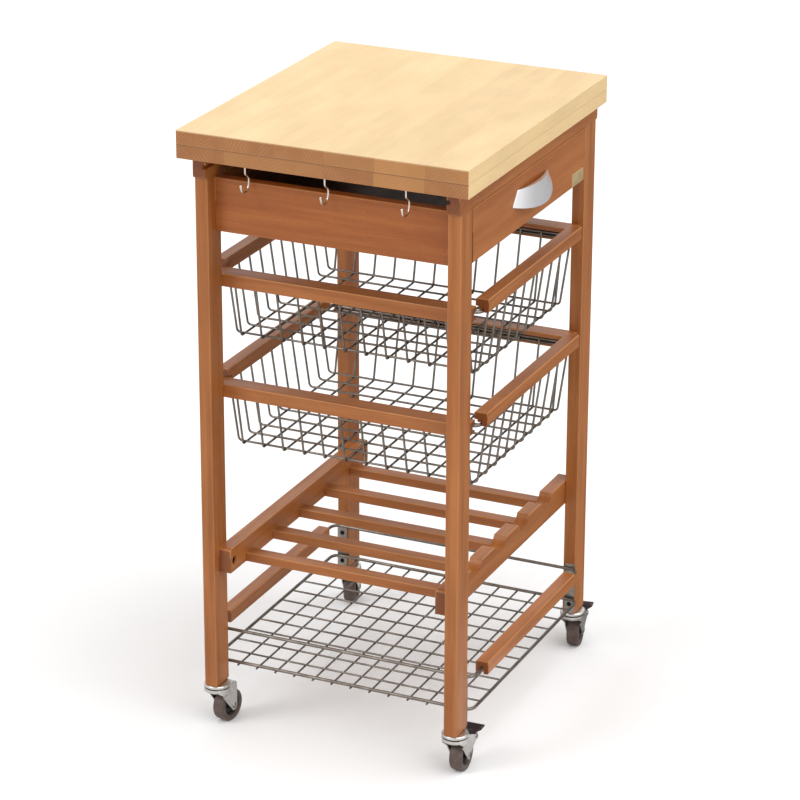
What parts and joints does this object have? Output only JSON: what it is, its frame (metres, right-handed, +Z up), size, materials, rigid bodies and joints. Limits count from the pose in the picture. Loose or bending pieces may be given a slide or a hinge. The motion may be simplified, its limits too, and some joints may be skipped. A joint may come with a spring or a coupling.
{
  "type": "kitchen trolley",
  "caption": "Wooden kitchen trolley on castors with folding sliding top, drawer, sliding wire baskets, bottle rack and wire tray.",
  "frame": {"origin": "bottom centre of the whole trolley's box, on the floor, castors as they stand", "axes": "+Z up, -Y is the drawer's front, -X is the side with the hooks"},
  "size_m": [0.5238, 0.4104, 0.86],
  "materials": {
    "frame_wood": "stained solid beech, satin varnish",
    "pale_wood": "edge-glued beech block, oiled",
    "inner_wood": "stained softwood and plywood, matt",
    "satin_metal": "satin",
    "brass_plate": "satin",
    "grey_wire": "silver-grey lacquer",
    "zinc_steel": "bright zinc",
    "black_steel": "black oxide",
    "hinge_brass": "bright",
    "nickel": "nickel plated",
    "black_plastic": "moulded",
    "tread_rubber": "matt"
  },
  "bodies": {
    "frame": {"apron_left": "frame_wood", "apron_right": "frame_wood", "back_panel": "frame_wood", "basket_rail_lower_left": "frame_wood", "basket_rail_lower_right": "frame_wood", "basket_rail_upper_left": "frame_wood", "basket_rail_upper_right": "frame_wood", "castor_stems": "zinc_steel", "drawer_runners": "inner_wood", "frame_screws": "black_steel", "leg_back_left": "frame_wood", "leg_back_right": "frame_wood", "leg_front_left": "frame_wood", "leg_front_right": "frame_wood", "rack_bolts": "black_steel", "rack_rail_back": "frame_wood", "rack_rail_front": "frame_wood", "rack_slat_1": "frame_wood", "rack_slat_2": "frame_wood", "rack_slat_3": "frame_wood", "rack_slat_4": "frame_wood", "rack_slat_5": "frame_wood", "rail_back": "frame_wood", "rail_front": "frame_wood", "tray_bar_back": "frame_wood", "tray_bar_front": "frame_wood", "tray_straps": "grey_wire", "tray_wire": "grey_wire"},
    "drawer": {"drawer_front": "frame_wood", "drawer_sides": "inner_wood", "drawer_back": "inner_wood", "drawer_bottom": "inner_wood", "drawer_pull": "satin_metal", "blank_plate": "brass_plate"},
    "basket_upper": {"basket_upper_wire": "grey_wire", "basket_upper_bar_front": "frame_wood", "basket_upper_bar_back": "frame_wood"},
    "basket_lower": {"basket_lower_wire": "grey_wire", "basket_lower_bar_front": "frame_wood", "basket_lower_bar_back": "frame_wood"},
    "top_base": {"top_lower": "pale_wood", "top_guides": "inner_wood", "hinge_lower": "hinge_brass", "hooks": "nickel"},
    "top_leaf": {"top_upper": "pale_wood", "hinge_upper": "hinge_brass"},
    "castor_front_left": {"castor_fork_front_left": "zinc_steel"},
    "wheel_front_left": {"castor_tyre_front_left": "tread_rubber", "castor_hub_front_left": "black_plastic"},
    "castor_front_right": {"castor_fork_front_right": "zinc_steel"},
    "wheel_front_right": {"castor_tyre_front_right": "tread_rubber", "castor_hub_front_right": "black_plastic"},
    "castor_back_left": {"castor_fork_back_left": "zinc_steel"},
    "wheel_back_left": {"castor_tyre_back_left": "tread_rubber", "castor_hub_back_left": "black_plastic"},
    "castor_back_right": {"castor_fork_back_right": "zinc_steel"},
    "wheel_back_right": {"castor_tyre_back_right": "tread_rubber", "castor_hub_back_right": "black_plastic"},
    "pedal_front_left": {"brake_pedal_front_left": "black_plastic"},
    "pedal_front_right": {"brake_pedal_front_right": "black_plastic"}
  },
  "joints": [
    {"name": "drawer_slide", "type": "slide", "parent": "frame", "child": "drawer", "axis": [0, -1, 0], "range_m": [0, 0.28]},
    {"name": "basket_upper_slide", "type": "slide", "parent": "frame", "child": "basket_upper", "axis": [0, -1, 0], "range_m": [-0.25, 0.25]},
    {"name": "basket_lower_slide", "type": "slide", "parent": "frame", "child": "basket_lower", "axis": [0, -1, 0], "range_m": [-0.25, 0.25]},
    {"name": "top_slide", "type": "slide", "parent": "frame", "child": "top_base", "axis": [1, 0, 0], "range_m": [-0.225, 0.0045]},
    {"name": "leaf_hinge", "type": "hinge", "parent": "top_base", "child": "top_leaf", "pos_m": [0.21092, 0.00094, 0.84152], "axis": [0, 1, 0], "range_deg": [0, 180]},
    {"name": "swivel_front_left", "type": "hinge", "parent": "frame", "child": "castor_front_left", "pos_m": [-0.22563, -0.17716, 0.06], "axis": [0, 0, 1], "continuous": true},
    {"name": "roll_front_left", "type": "hinge", "parent": "castor_front_left", "child": "wheel_front_left", "pos_m": [-0.20265, -0.17636, 0.023], "axis": [-0.0349, 0.9994, 0], "continuous": true},
    {"name": "brake_front_left", "type": "hinge", "parent": "castor_front_left", "child": "pedal_front_left", "pos_m": [-0.17666, -0.17545, 0.0385], "axis": [-0.0349, 0.9994, 0], "range_deg": [0, 20]},
    {"name": "swivel_front_right", "type": "hinge", "parent": "frame", "child": "castor_front_right", "pos_m": [0.19717, -0.17716, 0.06], "axis": [0, 0, 1], "continuous": true},
    {"name": "roll_front_right", "type": "hinge", "parent": "castor_front_right", "child": "wheel_front_right", "pos_m": [0.21982, -0.17317, 0.023], "axis": [-0.1736, 0.9848, 0], "continuous": true},
    {"name": "brake_front_right", "type": "hinge", "parent": "castor_front_right", "child": "pedal_front_right", "pos_m": [0.24542, -0.16865, 0.0385], "axis": [-0.1736, 0.9848, 0], "range_deg": [0, 20]},
    {"name": "swivel_back_left", "type": "hinge", "parent": "frame", "child": "castor_back_left", "pos_m": [-0.22563, 0.17904, 0.06], "axis": [0, 0, 1], "continuous": true},
    {"name": "roll_back_left", "type": "hinge", "parent": "castor_back_left", "child": "wheel_back_left", "pos_m": [-0.20292, 0.17544, 0.023], "axis": [0.1564, 0.9877, 0], "continuous": true},
    {"name": "swivel_back_right", "type": "hinge", "parent": "frame", "child": "castor_back_right", "pos_m": [0.19717, 0.17904, 0.06], "axis": [0, 0, 1], "continuous": true},
    {"name": "roll_back_right", "type": "hinge", "parent": "castor_back_right", "child": "wheel_back_right", "pos_m": [0.21949, 0.1846, 0.023], "axis": [-0.2419, 0.9703, 0], "continuous": true}
  ]
}
